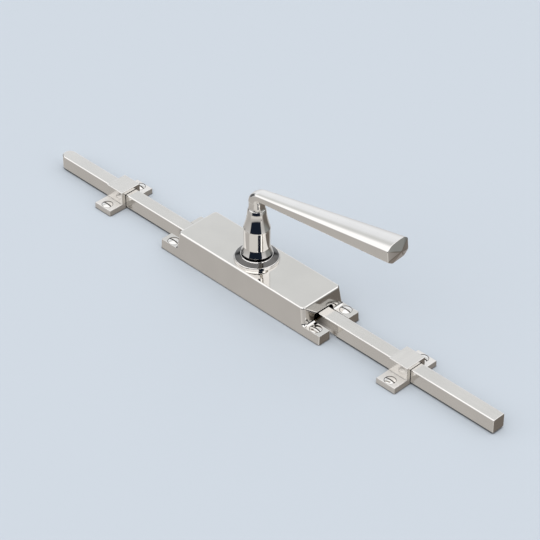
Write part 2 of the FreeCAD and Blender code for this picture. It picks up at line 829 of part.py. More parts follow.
def make_pinion():
    """The pinion with its hub and two journals, cut from one bar."""
    low, face = S.pinion_low.value, S.pinion_face.value
    up = FreeCAD.Vector(0, 0, 1)

    def bar(radius, bottom, top):
        return Part.makeCylinder(radius, top - bottom, FreeCAD.Vector(0, 0, bottom), up)

    teeth = Part.Face(pinion_outline()).extrude(up * face)
    teeth.translate(up * low)
    shape = teeth.fuse(
        [
            bar(S.foot_radius.value, S.foot_low.value, low),
            bar(S.hub_radius.value, low + face, HUB_TOP.value),
            bar(S.journal_radius.value, HUB_TOP.value, JOURNAL_TOP.value),
        ]
    )
    side = S.spindle_side.value + 2 * S.spindle_play.value
    depth = JOURNAL_TOP.value - S.spindle_low.value
    corner = FreeCAD.Vector(-side / 2, -side / 2, S.spindle_low.value)
    shape = shape.cut(Part.makeBox(side, side, depth, corner))
    head = S.keep_head_radius.value + S.screw_play.value
    sunk = S.foot_low.value + S.keep_head_depth.value
    shank = S.keep_screw_radius.value + S.screw_play.value
    shape = shape.cut(bar(head, S.foot_low.value, sunk))
    shape = shape.cut(bar(shank, sunk, S.spindle_low.value))
    thing = doc.addObject("Part::Feature", "pinion")
    thing.Shape = shape.removeSplitter()
    on_handle(node("pinion", thing))


def make_bearings():
    """A bush in the back plate, a flanged bush in the case's roof and a thrust washer."""
    foot = new_body("foot_bush")
    round_bar(foot, "Additive", "ring", S.foot_bush_radius, 0, S.pinion_low - S.slide_gap, S.axis_x)
    round_bar(foot, "Subtractive", "bore", FOOT_BORE, 0, S.pinion_low, S.axis_x)
    bush = new_body("roof_bush")
    flange_low = CAVITY_TOP - S.bush_flange_thickness
    round_bar(bush, "Additive", "flange", S.bush_flange, flange_low, CAVITY_TOP, S.axis_x)
    round_bar(bush, "Additive", "sleeve", S.bush_radius, CAVITY_TOP, BUSH_TOP, S.axis_x)
    round_bar(bush, "Subtractive", "bore", BUSH_BORE, flange_low, BUSH_TOP, S.axis_x)
    washer = new_body("thrust_washer")
    round_bar(washer, "Additive", "ring", S.washer_radius, HUB_TOP, WASHER_TOP, S.axis_x)
    round_bar(washer, "Subtractive", "bore", BUSH_BORE, HUB_TOP, WASHER_TOP, S.axis_x)


def make_spindle():
    """A square bar from the pinion up into the shank, kept by a screw from below."""
    body = new_body("spindle")
    half = S.spindle_side / 2
    block(body, "Additive", "bar", (-half, -half, S.spindle_low), (half, half, SPINDLE_TOP))
    hole = S.keep_screw_radius + S.pin_play
    tapped = S.spindle_low + S.keep_screw_length
    round_bar(body, "Subtractive", "tapping", hole, S.spindle_low, tapped)
    on_handle(body)
    screw = new_body("spindle_screw")
    sunk = S.foot_low + S.keep_head_depth
    thread_end = tapped - S.slide_gap
    round_bar(screw, "Additive", "head", S.keep_head_radius, S.foot_low, sunk)
    round_bar(screw, "Additive", "thread", S.keep_screw_radius, sunk, thread_end)
    slot = S.slot_width / 2
    slot_top = S.foot_low + S.slot_width
    edge = S.keep_head_radius
    block(screw, "Subtractive", "slot", (-edge, -slot, S.foot_low), (edge, slot, slot_top))
    on_handle(screw)


def make_rose():
    """A turned collar on the case, dished round a ring that takes the shank's foot."""
    body = new_body("rose")
    bore = S.shank_journal + S.bearing_play
    base = S.case_height
    floor = ROSE_TOP - S.rose_recess_depth
    lip = S.rose_edge
    wall = S.rose_radius - S.rose_foot_hollow
    shoulder = ROSE_TOP - S.rose_step
    crest = wall - S.rose_lean - S.rose_round
    section = [
        (bore, BUSH_TOP),
        (S.rose_spigot, BUSH_TOP),
        (S.rose_spigot, base),
        (S.rose_radius, base),
        (S.rose_radius, base + S.rose_rim, -S.rose_foot_hollow),
        (wall, base + S.rose_rim + S.rose_foot_hollow),
        (wall - S.rose_lean, shoulder - S.rose_round, S.rose_round),
        (crest, shoulder, -S.rose_dish),
        (S.rose_ring, ROSE_TOP - S.rose_ring_rise),
        (S.rose_ring, ROSE_TOP - lip),
        (S.rose_ring - lip, ROSE_TOP),
        (S.rose_recess, ROSE_TOP),
        (S.rose_recess, floor),
        (bore, floor),
    ]
    turned(body, "form", section)
    bind(body, "Placement.Base.x", S.axis_x)


def make_shank():
    """The turned shank: a journal in the rose, a flared foot, a barrel and a hollow taper."""
    body = new_body("shank")
    rim = SHANK_FOOT + S.shank_foot_rim
    flare = SHANK_FOOT + S.shank_flare_height
    edge = S.shank_top_edge
    section = [
        (0, SHANK_LOW),
        (S.shank_journal, SHANK_LOW),
        (S.shank_journal, SHANK_FOOT),
        (S.shank_foot_radius, SHANK_FOOT),
        (S.shank_foot_radius, rim, -S.shank_flare_hollow),
        (S.shank_radius, flare),
        (S.shank_radius, SHOULDER - S.shank_bead),
        (S.shank_shoulder_radius, SHOULDER, S.shank_bead),
        (S.shank_shoulder_radius - S.shank_bead / 4, SHOULDER + S.shank_bead, -S.shank_taper_hollow),
        (S.shank_waist_radius, WAIST),
        (S.shank_top_radius, SHANK_TOP - edge),
        (S.shank_top_radius - edge, SHANK_TOP),
        (0, SHANK_TOP),
    ]
    turned(body, "form", section)
    half = S.spindle_side / 2 + S.spindle_play
    block(body, "Subtractive", "socket", (-half, -half, SHANK_LOW), (half, half, SOCKET_TOP))
    tenon = S.tenon_radius + S.pin_play
    round_bar(body, "Subtractive", "tenon_hole", tenon, SHANK_TOP - S.tenon_length, SHANK_TOP)
    sizes = {"Radius": S.grub_radius + S.pin_play, "Height": S.shank_radius + 1}
    feature(body, "SubtractiveCylinder", "grub_hole", sizes, (0, 0, GRUB_LEVEL), ACROSS)
    sizes = {"Radius": S.lever_pin_radius + S.pin_play, "Height": S.shank_radius + 1}
    feature(body, "SubtractiveCylinder", "pin_hole", sizes, (0, 0, PIN_LEVEL), ACROSS)
    on_handle(body)


def make_shank_fasteners():
    """A grub screw on the spindle and a pin through the lever's tenon, both from behind."""
    start = S.spindle_side / 2 + S.spindle_play
    where = (0, start, GRUB_LEVEL)
    thread = solid("Cylinder", "grub_thread", where, ACROSS, Radius=S.grub_radius, Height=S.grub_length)
    reach = S.grub_length / 2
    where = (0, start + reach, GRUB_LEVEL)
    key = doc.addObject("Part::Prism", "grub_socket")
    key.Polygon = 6
    key.Placement.Rotation = ACROSS
    bind(key, "Circumradius", S.grub_hex / root(length(3)))
    bind(key, "Height", reach)
    place(key, where)
    on_handle(node("grub_screw", cut("grub_screw", thread, key)))
    body = new_body("lever_pin")
    reach = S.lever_pin_depth + S.shank_waist_radius - S.pin_play
    sizes = {"Radius": S.lever_pin_radius, "Height": reach}
    feature(body, "AdditiveCylinder", "pin", sizes, (0, -S.lever_pin_depth, PIN_LEVEL), ACROSS)
    on_handle(body)


def octagon(centre, across, over, width, height, flat, side):
    """An octagon with its flats at top, bottom and sides."""
    corners = [
        (-flat, -height),
        (flat, -height),
        (width, -side),
        (width, side),
        (flat, height),
        (-flat, height),
        (-width, side),
        (-width, -side),
    ]
    points = [centre + across * (a / 2) + over * (b / 2) for a, b in corners]
    return Part.makePolygon(points + points[:1])


def make_lever():
    """The lever and its neck, one casting: an octagonal bar bent up from the shank."""
    rise = math.radians(S.lever_rise.value)
    across = FreeCAD.Vector(0, 1, 0)
    neck = S.neck_across.value
    neck_foot = S.neck_foot.value
    neck_flat = neck * S.neck_flat.value
    eighth = neck_foot * math.tan(math.pi / 8)
    bend = S.lever_bend.value
    level = LEVER_LEVEL.value
    turn = math.pi / 2 - rise
    reach = bend * math.tan(turn / 2)
    start = FreeCAD.Vector(0, 0, level - reach)
    hub = start + FreeCAD.Vector(bend, 0, 0)
    root_width, root_height = S.root_width.value, S.root_height.value
    flat_share, side_share = S.flat_share.value, S.root_side_share.value
    side_growth = S.end_side_share.value - side_share

    def elbow(share):
        """A section part of the way round the elbow."""
        angle = turn * share
        ease = share * share * (3 - 2 * share)
        centre = hub + FreeCAD.Vector(-bend * math.cos(angle), 0, bend * math.sin(angle))
        over = FreeCAD.Vector(-math.cos(angle), 0, math.sin(angle))
        width = neck + (root_width - neck) * ease
        height = neck + (root_height - neck) * ease
        flat = neck_flat + (root_width * flat_share - neck_flat) * ease
        side = neck_flat + (root_height * side_share - neck_flat) * ease
        return octagon(centre, across, over, width, height, flat, side)

    def bar(distance):
        """A section of the straight lever at a distance from the handle axis."""
        share = (distance - reach) / (S.lever_length.value - reach)
        along = FreeCAD.Vector(math.cos(rise), 0, math.sin(rise))
        over = FreeCAD.Vector(-math.sin(rise), 0, math.cos(rise))
        centre = FreeCAD.Vector(0, 0, level) + along * distance
        width = root_width + (S.end_width.value - root_width) * share
        height = root_height + (S.end_height.value - root_height) * share
        side = height * (side_share + side_growth * share)
        return centre, across, over, width, height, width * flat_share, side

    def bar_wire(distance, shrink=1.0, beyond=0.0):
        centre, side_way, over, *sizes = bar(distance)
        centre = centre + FreeCAD.Vector(math.cos(rise), 0, math.sin(rise)) * beyond
        return octagon(centre, side_way, over, *(size * shrink for size in sizes))

    top = SHANK_TOP.value
    foot = octagon(
        FreeCAD.Vector(0, 0, top),
        across,
        FreeCAD.Vector(-1, 0, 0),
        neck_foot,
        neck_foot,
        eighth,
        eighth,
    )
    steps = 8
    stem = Part.makeLoft([foot, elbow(0)], True, True)
    corner = Part.makeLoft([elbow(i / steps) for i in range(steps + 1)], True, False)
    straight = Part.makeLoft([bar_wire(reach), bar_wire(S.lever_length.value)], True, True)
    point = Part.makeLoft(
        [
            bar_wire(S.lever_length.value),
            bar_wire(S.lever_length.value, S.end_point_share.value, S.end_point.value),
        ],
        True,
        True,
    )
    tenon = Part.makeCylinder(
        S.tenon_radius.value,
        S.tenon_length.value,
        FreeCAD.Vector(0, 0, top - S.tenon_length.value),
    )
    hole = Part.makeCylinder(
        S.lever_pin_radius.value + S.pin_play.value,
        S.lever_pin_depth.value + neck,
        FreeCAD.Vector(0, -S.lever_pin_depth.value, PIN_LEVEL.value),
        ROUND_Y,
    )
    thing = doc.addObject("Part::Feature", "lever")
    thing.Shape = stem.fuse([corner, straight, point, tenon]).cut(hole)
    on_handle(node("lever", thing))


def make_guide(side, sign):
    """A cast bridge that holds a rod to the window, with a screw in each flange."""
    body = new_body(f"{side}_guide")
    middle = sign * S.guide_x
    low_x, high_x = middle - S.guide_length / 2, middle + S.guide_length / 2
    inner = ROD_HALF + S.guide_play
    outer = inner + S.guide_wall
    ceiling = ROD_TOP + S.guide_play
    top = ceiling + S.guide_roof
    block(body, "Additive", "flanges", (low_x, -S.guide_reach, 0), (high_x, S.guide_reach, S.guide_flange))
    block(body, "Additive", "bridge", (low_x, -outer, 0), (high_x, outer, top))
    soften(
        body,
        "edges",
        S.guide_edge,
        lambda edge: edge.BoundBox.ZMin > S.guide_flange.value - 0.001
        and not (
            near(edge.BoundBox.ZMax, S.guide_flange.value)
            and near(abs(edge.CenterOfMass.y), outer.value)
        ),
    )
    block(body, "Subtractive", "way", (low_x, -inner, S.guide_floor), (high_x, inner, ceiling))
    for i, (x, y) in enumerate(guide_screw_places(sign), 1):
        screw_seat(body, i, x, y, S.guide_flange, GUIDE_SCREW)


def guide_screw_places(sign):
    return [(sign * S.guide_x, way * S.guide_hole_y) for way in (-1, 1)]


make_case()
make_back_plate()
make_plate_screws()
make_bearings()
make_rose()
make_pinion()
make_spindle()
make_shank()
make_shank_fasteners()
make_lever()
make_screws("case_screws", at_corners(LUG_HOLE_X, LUG_HOLE_Y), S.lug_height, LUG_SCREW)
for side, sign, reach in (("left", -1, S.left_reach), ("right", 1, S.right_reach)):
    make_rod(side, sign, reach)
    make_rack(side, sign)
    make_rivets(side, sign)
    make_guide(side, sign)
    make_screws(f"{side}_guide_screws", guide_screw_places(sign), S.guide_flange, GUIDE_SCREW)

doc.recompute()
for thing in doc.Objects:
    if {"Invalid", "Error"} & set(thing.State):
        raise RuntimeError(f"{thing.Name} did not build: {thing.State}")
os.makedirs("parts", exist_ok=True)
for label, thing in PARTS.items():
    shape = thing.Shape
    if shape.isNull() or not shape.isValid() or not shape.Solids:
        raise RuntimeError(f"{label} is not a sound solid")
    shape.exportStep(f"parts/{label}.step")
    box = shape.BoundBox
    print(
        f"{label}: {len(shape.Solids)} solids, {shape.Volume:.1f} mm3,"
        f" x {box.XMin:.2f} to {box.XMax:.2f}, y {box.YMin:.2f} to {box.YMax:.2f},"
        f" z {box.ZMin:.2f} to {box.ZMax:.2f}"
    )
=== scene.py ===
"""Looks of the window espagnolette gearbox: polished nickel on a pale floor in a soft studio."""

import math

import bmesh
import bpy
from mathutils import Matrix, Vector


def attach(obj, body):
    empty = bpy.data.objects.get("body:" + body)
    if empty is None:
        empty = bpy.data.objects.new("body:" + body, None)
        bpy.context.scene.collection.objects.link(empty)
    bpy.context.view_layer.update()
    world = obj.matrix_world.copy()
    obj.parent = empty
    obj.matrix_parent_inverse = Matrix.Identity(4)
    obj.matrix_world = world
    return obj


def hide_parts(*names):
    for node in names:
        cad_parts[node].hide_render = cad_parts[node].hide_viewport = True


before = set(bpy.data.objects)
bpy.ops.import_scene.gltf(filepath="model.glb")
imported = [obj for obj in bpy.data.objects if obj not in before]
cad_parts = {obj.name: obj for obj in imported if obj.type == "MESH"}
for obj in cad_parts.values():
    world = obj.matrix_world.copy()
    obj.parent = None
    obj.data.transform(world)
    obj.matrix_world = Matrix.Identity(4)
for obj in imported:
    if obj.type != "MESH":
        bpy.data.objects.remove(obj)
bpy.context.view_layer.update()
scene = bpy.context.scene

MM = 0.001


# Shader nodes


def link(tree, source, target):
    tree.links.new(source, target)


def math_node(tree, operation, *values):
    """A math node of sockets and plain numbers."""
    node = tree.nodes.new("ShaderNodeMath")
    node.operation = operation
    for socket, value in zip(node.inputs, values):
        if isinstance(value, (int, float)):
            socket.default_value = value
        else:
            link(tree, value, socket)
    return node.outputs[0]


def smooth(tree, value, low, high, start=0.0, end=1.0, kind="SMOOTHSTEP"):
    """A step of a value between two limits."""
    node = tree.nodes.new("ShaderNodeMapRange")
    node.interpolation_type = kind
    node.clamp = True
    link(tree, value, node.inputs["Value"])
    for name, number in (("From Min", low), ("From Max", high), ("To Min", start), ("To Max", end)):
        node.inputs[name].default_value = number
    return node.outputs["Result"]


def mix(tree, share, first, second):
    """A blend of two colours, each a socket or three numbers."""
    node = tree.nodes.new("ShaderNodeMix")
    node.data_type = "RGBA"
    link(tree, share, node.inputs[0])
    for socket, value in zip((node.inputs[6], node.inputs[7]), (first, second)):
        if isinstance(value, tuple):
            socket.default_value = (*value, 1)
        else:
            link(tree, value, socket)
    return node.outputs[2]


def occlusion(tree, samples, distance):
    """How open a place is to its surroundings."""
    node = tree.nodes.new("ShaderNodeAmbientOcclusion")
    node.samples = samples
    node.inputs["Distance"].default_value = distance
    return node.outputs["AO"]


def rounded(tree, radius):
    """The surface's normal with its edges rounded off."""
    node = tree.nodes.new("ShaderNodeBevel")
    node.samples = 8
    node.inputs["Radius"].default_value = radius
    return node.outputs[0]


def noise(tree, coords, size, detail, stretch=(1, 1, 1)):
    mapping = tree.nodes.new("ShaderNodeMapping")
    mapping.inputs["Scale"].default_value = stretch
    link(tree, coords, mapping.inputs["Vector"])
    node = tree.nodes.new("ShaderNodeTexNoise")
    node.inputs["Scale"].default_value = size
    node.inputs["Detail"].default_value = detail
    link(tree, mapping.outputs[0], node.inputs["Vector"])
    return node.outputs["Fac"]


def part_of(tree, coords, axis):
    split = tree.nodes.new("ShaderNodeSeparateXYZ")
    link(tree, coords, split.inputs[0])
    return split.outputs[axis]


# Metals. Lengths in them are in metres

NICKEL = (0.76, 0.735, 0.70)
# A near black painted as shade in crevices, in screw joints and on the rods by the case
SHADE_COLOUR = (0.035, 0.03, 0.026)
NOISE_RANGE = (0.3, 0.7)
DEEPER = 0.965
CLOUDS, GLOSS_SIZE, WAVES, HAIRLINES = 45, 700, 38, 500
WAVE_DEPTH, HAIR_DEPTH = 0.0004, 0.00002
BRUSHED = 0.26


def near_case_shade(tree, coords):
    """Painted shade on a rod's flanks where it leaves the case."""
    near_case = smooth(tree, math_node(tree, "ABSOLUTE", part_of(tree, coords, 0)), 0.064, 0.078, 0.85, 0.0)
    under_top = smooth(tree, part_of(tree, coords, 2), 0.0106, 0.0112, 1.0, 0.0)
    return math_node(tree, "MULTIPLY", near_case, under_top)


def screw_shadow_line(tree, coords, out, aside, radius):
    """A painted shadow line in the thin joint round each screw head, at the same places on all four corners.
    """
    squares = []
    for axis, middle in ((0, out), (1, aside)):
        beside = math_node(tree, "ABSOLUTE", part_of(tree, coords, axis))
        squares.append(math_node(tree, "POWER", math_node(tree, "SUBTRACT", beside, middle), 2.0))
    away = math_node(tree, "SQRT", math_node(tree, "ADD", *squares))
    off = math_node(tree, "ABSOLUTE", math_node(tree, "SUBTRACT", away, radius))
    return smooth(tree, off, 0.00018, 0.00034, 0.85, 0.0)


def metal(
    name,
    colour,
    rough,
    vary,
    grain=0.0,
    wave=0.0,
    edge=0.0,
    crevice_shade=0.0,
    run=(0.04, 1, 1),
    ring=None,
    brushed_below=None,
    near_case_shaded=False,
):
    """Polished or drawn metal: a faint cast wave, hairlines, uneven gloss, shade painted dark into its
    crevices.
    """
    material = bpy.data.materials.new(name)
    material.use_nodes = True
    tree = material.node_tree
    shader = tree.nodes["Principled BSDF"]
    shader.inputs["Metallic"].default_value = 1.0
    coords = tree.nodes.new("ShaderNodeTexCoord").outputs["Object"]

    deep = tuple(c * DEEPER for c in colour)
    base = mix(tree, smooth(tree, noise(tree, coords, CLOUDS, 2), *NOISE_RANGE), deep, colour)
    fine = smooth(tree, noise(tree, coords, GLOSS_SIZE, 4, run if grain else (1, 1, 1)), *NOISE_RANGE)
    gloss = math_node(tree, "MULTIPLY_ADD", fine, vary, rough)
    # Painted shade: darker and rougher in crevices, where the surroundings hem a place in
    if crevice_shade:
        crevice_openness = occlusion(tree, 8, crevice_shade)
        base = mix(tree, smooth(tree, crevice_openness, 0.18, 0.72), SHADE_COLOUR, base)
        gloss = math_node(tree, "ADD", gloss, smooth(tree, crevice_openness, 0.2, 0.7, 0.35, 0.0))
    # Painted shadow line round the screw heads
    if ring:
        base = mix(tree, screw_shadow_line(tree, coords, *ring), base, SHADE_COLOUR)
    if brushed_below:
        height = part_of(tree, coords, 2)
        low = smooth(tree, height, brushed_below - 0.0003, brushed_below + 0.0003, BRUSHED, 0.0)
        gloss = math_node(tree, "ADD", gloss, low)
    # Painted shade on the rods' flanks by the case
    if near_case_shaded:
        base = mix(tree, near_case_shade(tree, coords), base, SHADE_COLOUR)
    link(tree, base, shader.inputs["Base Color"])
    link(tree, gloss, shader.inputs["Roughness"])

    normal = rounded(tree, edge) if edge else None
    for strength, distance, pattern in (
        (wave, WAVE_DEPTH, (WAVES, 1)),
        (grain, HAIR_DEPTH, (HAIRLINES, 3, run)),
    ):
        if not strength:
            continue
        bump = tree.nodes.new("ShaderNodeBump")
        bump.inputs["Strength"].default_value = strength
        bump.inputs["Distance"].default_value = distance
        link(tree, noise(tree, coords, *pattern), bump.inputs["Height"])
        if normal:
            link(tree, normal, bump.inputs["Normal"])
        normal = bump.outputs[0]
    if normal:
        link(tree, normal, shader.inputs["Normal"])
    return material


# Out along X, aside along Y, and radius of the painted shadow line round a screw head
LUG_SHADOW_RING = (0.071, 0.015, 0.00432)
GUIDE_SHADOW_RING = (0.1413, 0.0163, 0.00402)
FLANGE_LEVEL = 0.0048

nickel = metal("nickel", NICKEL, 0.06, 0.03, wave=0.03, edge=0.0003, crevice_shade=0.0035, ring=LUG_SHADOW_RING)
nickel_bright = metal("nickel_bright", NICKEL, 0.025, 0.02, wave=0.015, crevice_shade=0.0012)
# Nickel painted almost black as shade, for the hollow of the rose
nickel_shaded = metal("nickel_shaded", (0.125, 0.12, 0.115), 0.05, 0.03, wave=0.02, crevice_shade=0.0012)
nickel_rod = metal("nickel_rod", NICKEL, 0.1, 0.06, grain=0.25, wave=0.02, crevice_shade=0.002, near_case_shaded=True)
nickel_guide = metal(
    "nickel_guide",
    NICKEL,
    0.17,
    0.08,
    grain=0.3,
    edge=0.0003,
    crevice_shade=0.0016,
    run=(1, 0.05, 1),
    ring=GUIDE_SHADOW_RING,
    brushed_below=FLANGE_LEVEL,
)
nickel_screw = metal("nickel_screw", NICKEL, 0.08, 0.04, edge=0.0002, crevice_shade=0.0014)
brass = metal("brass", (0.78, 0.60, 0.30), 0.2, 0.1, grain=0.2, edge=0.0002)
bronze = metal("bronze", (0.62, 0.42, 0.24), 0.25, 0.1, grain=0.1)
steel = metal("steel", (0.45, 0.45, 0.46), 0.22, 0.1, grain=0.15, edge=0.0001)
# Black steel for the set screws, also used to paint shade black in the rose's recess and under the shank's
# foot
black_and_shade = metal("black_steel", (0.06, 0.06, 0.065), 0.3, 0.1, grain=0.1)

LOOKS = {
    "case": nickel,
    "rose": nickel_bright,
    "shank": nickel_bright,
    "lever": nickel_bright,
    "left_guide": nickel_guide,
    "right_guide": nickel_guide,
    "left_rod": nickel_rod,
    "right_rod": nickel_rod,
    "case_screws": nickel_screw,
    "left_guide_screws": nickel_screw,
    "right_guide_screws": nickel_screw,
    "back_plate": brass,
    "plate_screws": brass,
    "lever_pin": nickel_screw,
    "foot_bush": bronze,
    "roof_bush": bronze,
    "thrust_washer": bronze,
    "spindle_screw": black_and_shade,
    "grub_screw": black_and_shade,
}
for name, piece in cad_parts.items():
    piece.data.materials.clear()
    piece.data.materials.append(LOOKS.get(name, steel))


# Sizes of the handle and the rose, in millimetres

AXIS_X, HANDLE_ANGLE = -1.3, math.radians(4.0)
CASE_TOP, SHANK_LOW, SHANK_FOOT, SHOULDER, SHANK_TOP = 21.47, 20.3, 28.0, 48.4, 64.6
ON_AXIS = Matrix.Translation((AXIS_X * MM, 0, 0)) @ Matrix.Rotation(HANDLE_ANGLE, 4, "Z")


def softened(corner, before, after, arm, count, most):
    """A corner rounded off over a length along each side, at most a share of the side."""
    start = corner + (before - corner) * min(most, arm / (before - corner).length)
    end = corner + (after - corner) * min(most, arm / (after - corner).length)
    steps = [k / count for k in range(count + 1)]
    return [start.lerp(corner, t).lerp(corner.lerp(end, t), t) for t in steps]


# Lever


def lever_loop(centre, over, width, height, flat, side, arms):
    """One section of the lever, across Y and over the centre line, with rounded corners."""
    corners = [
        (-flat, -height),
        (flat, -height),
        (width, -side),
        (width, side),
        (flat, height),
        (-flat, height),
        (-width, side),
        (-width, -side),
    ]
    corners = [Vector((a / 2, b / 2)) for a, b in corners]
    low, crease, crown = arms
    lengths = (low, low, crease, crease, crown, crown, crease, crease)
    across = Vector((0, 1, 0))
    loop = []
    for i, (corner, arm) in enumerate(zip(corners, lengths)):
        for p in softened(corner, corners[i - 1], corners[(i + 1) % len(corners)], arm, 6, 0.48):
            loop.append(centre + across * p.x + over * p.y)
    return loop


def blend(first, second, share):
    return tuple(a + (b - a) * share for a, b in zip(first, second))


def lever_loops():
    """Sections of the lever from the shank's top to the tip of its faceted end."""
    level, rise, bend = 76.3, math.radians(5.8), 6.0
    length, neck_foot, neck = 123.6, 12.1, 11.0
    root, end = (10.5, 6.2), (21.5, 14.7)
    flat_share, root_side, end_side = 0.58, 0.67, 0.6
    slim, neck_flat, foot_flat = 0.6, 0.55, math.tan(math.pi / 8)
    turn = math.pi / 2 - rise
    reach = bend * math.tan(turn / 2)
    foot = (neck_foot, neck_foot, neck_foot * foot_flat, neck_foot * foot_flat)
    stem = (neck, neck, neck * neck_flat, neck * neck_flat)
    bar = (*root, root[0] * flat_share, root[1] * root_side)
    soft_neck, soft_root, soft_end = (2.2, 2.2, 2.2), (1.0, 0.9, 3.0), (1.2, 0.9, 6.0)
    cove_reach, cove_height, cove_rows, cove_share = 0.35, 2.8, 12, 0.7
    below_elbow = 0.5

    loops = []
    elbow_foot = level - reach - SHANK_TOP
    heights = [cove_height * (1 - math.cos(math.pi / 2 * i / cove_rows)) for i in range(cove_rows)]
    for above in (*heights, elbow_foot - below_elbow):
        slack = max(0.0, 1 - above / cove_height)
        flare = 2 * cove_reach * (1 - math.sqrt(1 - slack * slack)) - slim
        share = min(1.0, above / cove_height * cove_share + 1 - cove_share)
        width, height, flat, side = blend(foot, stem, share)
        sizes = (width + flare, height + flare, flat, side)
        loops.append(lever_loop(Vector((0, 0, SHANK_TOP + above)), Vector((-1, 0, 0)), *sizes, soft_neck))

    elbow_rows = 24
    for i in range(elbow_rows + 1):
        share = i / elbow_rows
        angle = turn * share
        ease = share * share * (3 - 2 * share)
        out = Vector((-math.cos(angle), 0, math.sin(angle)))
        centre = Vector((bend, 0, level - reach)) + out * bend
        loops.append(lever_loop(centre, out, *blend(stem, bar, ease), blend(soft_neck, soft_root, ease)))

    along = Vector((math.cos(rise), 0, math.sin(rise)))
    over = Vector((-math.sin(rise), 0, math.cos(rise)))

    def bar_loop(distance, inset=0.0, shrink=1.0, beyond=0.0):
        share = (distance - reach) / (length - reach)
        width, height = blend(root, end, share)
        side = height * (root_side + (end_side - root_side) * share)
        sizes = [size * shrink - 2 * inset for size in (width, height, width * flat_share, side)]
        centre = Vector((0, 0, level)) + along * (distance + beyond)
        return lever_loop(centre, over, *sizes, blend(soft_root, soft_end, share))

    bar_rows, bar_end = 10, length - 1.0
    for i in range(1, bar_rows + 1):
        loops.append(bar_loop(reach + (bar_end - reach) * i / bar_rows))
    lip, lip_rows, lip_depth = 0.45, 5, 0.9
    for i in range(lip_rows + 1):
        angle = math.pi / 2 * i / lip_rows
        loops.append(bar_loop(length - lip * (1 - math.sin(angle)), lip * (1 - math.cos(angle)) * lip_depth))
    tip_share, tip_rise = 0.12, 2.6
    loops.append(bar_loop(length, 0.0, tip_share, tip_rise))
    return loops


def make_lever():
    """The lever as one smooth casting with crisp creases."""
    mesh = bpy.data.meshes.new("lever_form")
    form = bmesh.new()
    rings = [[form.verts.new(ON_AXIS @ (p * MM)) for p in loop] for loop in lever_loops()]
    for first, second in zip(rings, rings[1:]):
        for i in range(len(first)):
            j = (i + 1) % len(first)
            form.faces.new((first[i], first[j], second[j], second[i]))
    form.faces.new(rings[0])
    form.faces.new(rings[-1])
    bmesh.ops.recalc_face_normals(form, faces=form.faces)
    for face in form.faces:
        face.smooth = True
    form.to_mesh(mesh)
    form.free()
    mesh.set_sharp_from_angle(angle=math.radians(34))
    piece = bpy.data.objects.new("lever_form", mesh)
    scene.collection.objects.link(piece)
    piece.modifiers.new("normals", "WEIGHTED_NORMAL").keep_sharp = True
    mesh.materials.append(nickel_bright)
    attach(piece, "handle")
    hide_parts("lever")


make_lever()


# Turned pieces: a section is a list of radii and heights

LATHE_STEPS = 144


def bow(start, end, rise, count=14):
    """Points from start to just before end, on a shallow hollow towards the axis."""
    points = []
    for i in range(count):
        t = i / count
        sag = 4 * rise * t * (1 - t)
        points.append((start[0] + (end[0] - start[0]) * t - sag, start[1] + (end[1] - start[1]) * t))
    return points


def section(corners):
    """A section's outline. A corner with a third number is rounded over that length of its sides."""
    points = []
    for i, corner in enumerate(corners):
        here = Vector(corner[:2])
        if len(corner) == 2:
            points.append(here)
            continue
        before, after = Vector(corners[i - 1][:2]), Vector(corners[(i + 1) % len(corners)][:2])
        points += softened(here, before, after, corner[2], 6, 0.49)
    return points


def turned(name, corners, looks, look_at, holes=(), closed=True):
    """A turned piece round the handle's axis. look_at picks a face's look by its radius and height."""
    form = bmesh.new()
    angles = [2 * math.pi * i / LATHE_STEPS for i in range(LATHE_STEPS)]
    rings = []
    for point in section(corners):
        radius, height = point * MM
        if radius < 1e-9:
            rings.append([form.verts.new((0, 0, height))] * LATHE_STEPS)
        else:
            around = [(radius * math.cos(a), radius * math.sin(a), height) for a in angles]
            rings.append([form.verts.new(place) for place in around])
    pairs = list(zip(rings, rings[1:]))
    if closed:
        pairs.append((rings[-1], rings[0]))
    for first, second in pairs:
        for i in range(LATHE_STEPS):
            j = (i + 1) % LATHE_STEPS
            rim = list(dict.fromkeys((first[i], first[j], second[j], second[i])))
            if len(rim) > 2:
                form.faces.new(rim)
    bmesh.ops.recalc_face_normals(form, faces=form.faces)
    for face in form.faces:
        face.smooth = True
        middle = face.calc_center_median() / MM
        face.material_index = look_at(math.hypot(middle.x, middle.y), middle.z)
    mesh = bpy.data.meshes.new(name)
    form.to_mesh(mesh)
    form.free()
    for look in looks:
        mesh.materials.append(look)
    piece = bpy.data.objects.new(name, mesh)
    scene.collection.objects.link(piece)
    for level, radius in holes:
        drill(piece, level, radius)
    piece.data.transform(ON_AXIS)
    piece.data.set_sharp_from_angle(angle=math.radians(40))
    piece.modifiers.new("normals", "WEIGHTED_NORMAL").keep_sharp = True
    return piece


def drill(piece, level, radius, depth=14.0):
    """A hole from the axis out through the far side."""
    tool = bmesh.new()
    bmesh.ops.create_cone(
        tool, cap_ends=True, segments=48, radius1=radius * MM, radius2=radius * MM, depth=depth * MM
    )
    where = Matrix.Translation((0, depth / 2 * MM, level * MM)) @ Matrix.Rotation(math.pi / 2, 4, "X")
    bmesh.ops.transform(tool, matrix=where, verts=tool.verts)
    mesh = bpy.data.meshes.new("tool")
    tool.to_mesh(mesh)
    tool.free()
    cutter = bpy.data.objects.new("tool", mesh)
    scene.collection.objects.link(cutter)
    cut = piece.modifiers.new("hole", "BOOLEAN")
    cut.operation = "DIFFERENCE"
    cut.object = cutter
    bpy.context.view_layer.update()
    graph = bpy.context.evaluated_depsgraph_get()
    result = bpy.data.meshes.new_from_object(piece.evaluated_get(graph))
    piece.modifiers.clear()
    piece.data = result
    bpy.data.objects.remove(cutter)


# Rose: a rim on the case, a hollow painted dark as shade up to the top ring, and a recess round the shank
# painted black as shade

